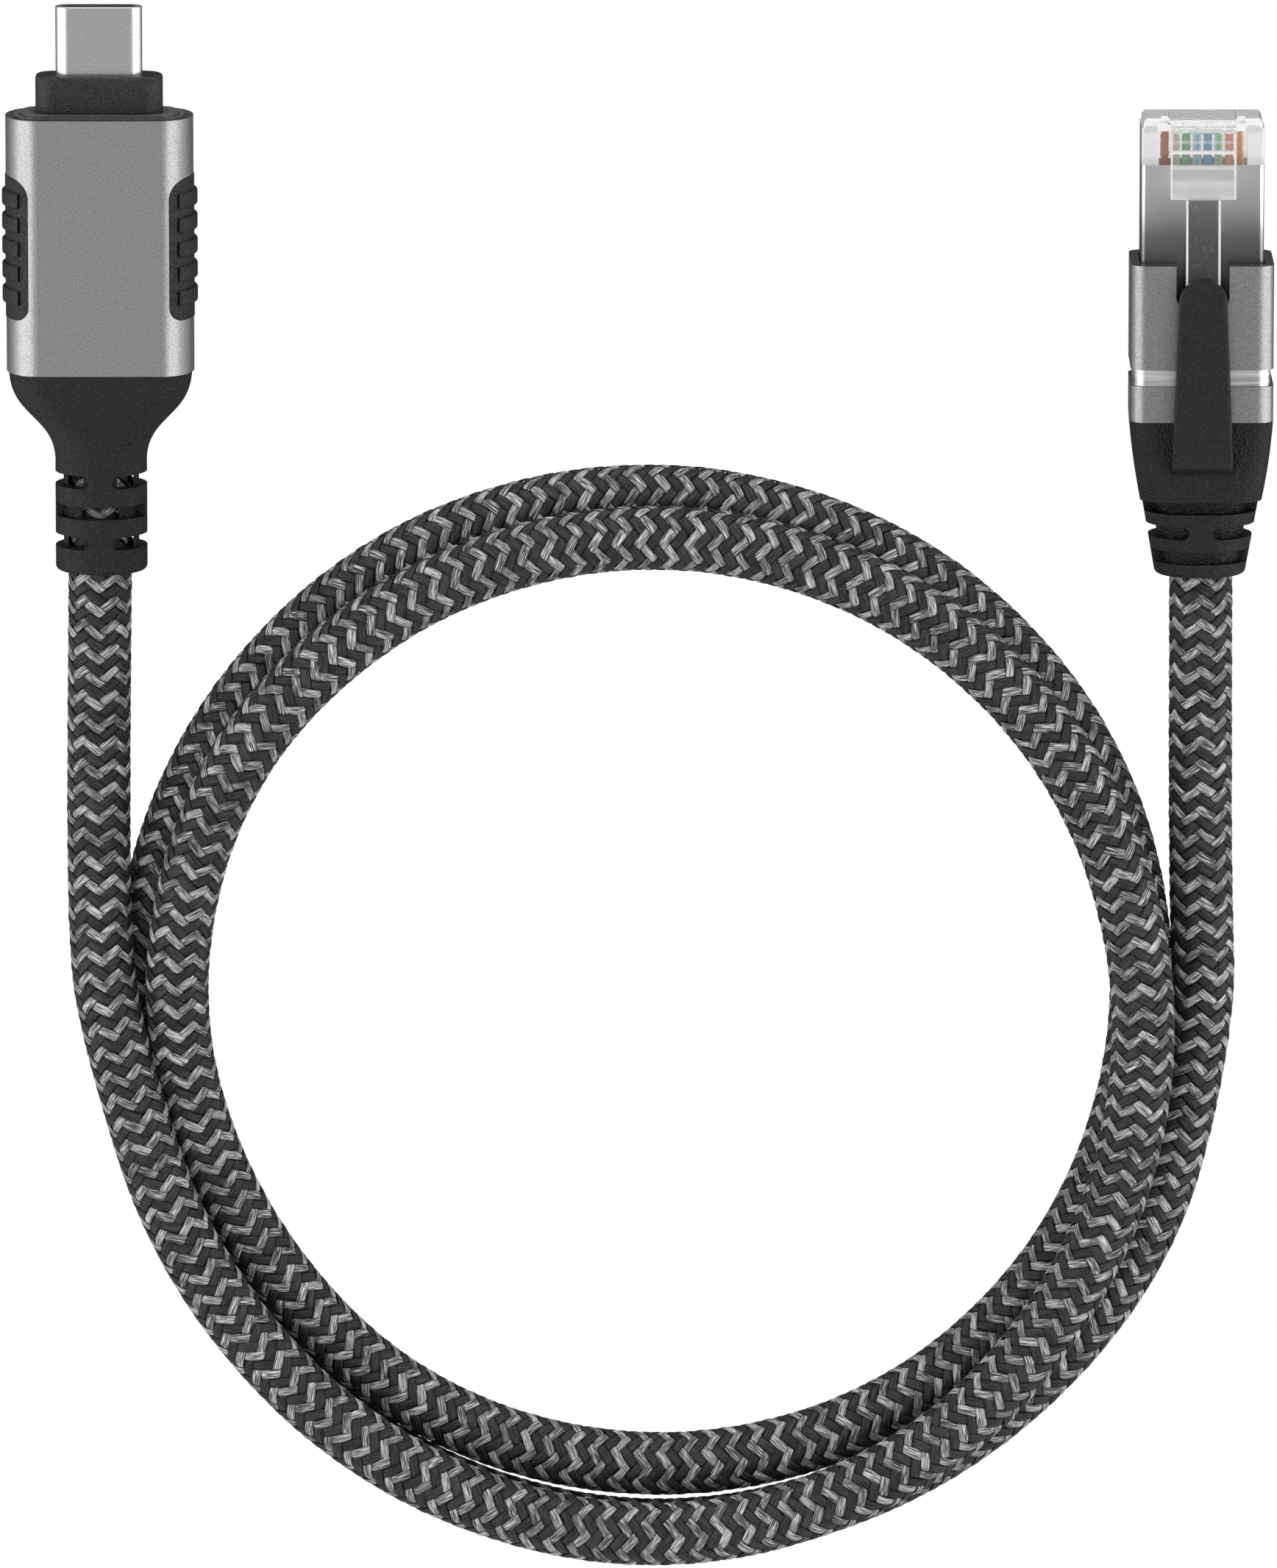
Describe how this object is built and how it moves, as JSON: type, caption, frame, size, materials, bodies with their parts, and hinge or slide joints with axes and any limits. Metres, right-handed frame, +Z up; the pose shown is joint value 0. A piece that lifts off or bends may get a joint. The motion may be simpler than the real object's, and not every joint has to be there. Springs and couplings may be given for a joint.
{
  "type": "network adapter cable",
  "caption": "Braided network cable laid in a loose round coil, with a USB-C plug in a metal housing on one end and a shielded RJ45 plug on the other.",
  "frame": {"origin": "on the table, under the middle of the box round the two plugs", "axes": "+X from the USB-C plug towards the RJ45 plug, +Y along both plugs towards their tips, +Z up off the table"},
  "size_m": [0.121, 0.1516, 0.0134],
  "materials": {
    "plated_shell": "satin nickel plate",
    "plug_insulator": "moulded black",
    "gold_contacts": "gold flash",
    "spring_steel": "plain",
    "black_moulding": "fine leather grain",
    "housing_metal": "bead blasted grey",
    "grip_rubber": "matt",
    "board_laminate": "green solder mask",
    "chip_resin": "moulded",
    "crystal_can": "satin",
    "capacitor_ceramic": "fired ceramic",
    "inner_wire_skin": "coloured insulation",
    "boot_rubber": "fine leather grain",
    "clear_moulding": "clear polycarbonate",
    "shield_metal": "bright nickel plate",
    "load_bar_moulding": "natural",
    "ring_metal": "polished",
    "lever_plastic": "fine leather grain",
    "braid_dark": "braided yarn, charcoal",
    "braid_light": "braided yarn, silver grey",
    "insulation_brown": "extruded insulation",
    "insulation_white_brown": "extruded insulation",
    "insulation_green": "extruded insulation",
    "insulation_white_blue": "extruded insulation",
    "insulation_blue": "extruded insulation",
    "insulation_white_green": "extruded insulation",
    "insulation_orange": "extruded insulation",
    "insulation_white_orange": "extruded insulation"
  },
  "bodies": {
    "cable": {"usb_shell": "plated_shell", "usb_insulator": "plug_insulator", "usb_contacts": "gold_contacts", "usb_side_latches": "spring_steel", "usb_nose": "black_moulding", "usb_end_plate": "black_moulding", "usb_sleeve": "housing_metal", "usb_grip_left": "grip_rubber", "usb_grip_right": "grip_rubber", "usb_board": "board_laminate", "usb_controller_chip": "chip_resin", "usb_magnetics": "chip_resin", "usb_crystal": "crystal_can", "usb_board_capacitors": "capacitor_ceramic", "usb_inner_wires": "inner_wire_skin", "usb_cable_clamp": "spring_steel", "usb_boot": "boot_rubber", "plug_body": "clear_moulding", "plug_shield": "shield_metal", "plug_contacts": "gold_contacts", "plug_load_bar": "load_bar_moulding", "plug_crimp_collar": "spring_steel", "plug_housing": "housing_metal", "plug_trim_ring": "ring_metal", "plug_rear_collar": "housing_metal", "plug_boot": "boot_rubber", "cable_usb_tail": "braid_dark", "cable_coil": "braid_light", "cable_plug_tail": "braid_dark", "wire_brown": "insulation_brown", "wire_white_brown": "insulation_white_brown", "wire_green": "insulation_green", "wire_white_blue": "insulation_white_blue", "wire_blue": "insulation_blue", "wire_white_green": "insulation_white_green", "wire_orange": "insulation_orange", "wire_white_orange": "insulation_white_orange"},
    "lever": {"latch_lever": "lever_plastic"},
    "latch": {"plug_latch": "clear_moulding"}
  },
  "joints": [
    {"name": "lever_press", "type": "hinge", "parent": "cable", "child": "lever", "pos_m": [0.0536, -0.01572, 0.00975], "axis": [-1, 0, 0], "range_deg": [0, 4], "stiffness_Nm_per_rad": 0.1},
    {"name": "latch_press", "type": "hinge", "parent": "cable", "child": "latch", "pos_m": [0.0536, 0.01582, 0.00898], "axis": [1, 0, 0], "range_deg": [0, 5], "stiffness_Nm_per_rad": 0.08}
  ],
  "couplings": [
    {"joint": "latch_press", "follows": "lever_press", "ratio": 1.13}
  ]
}
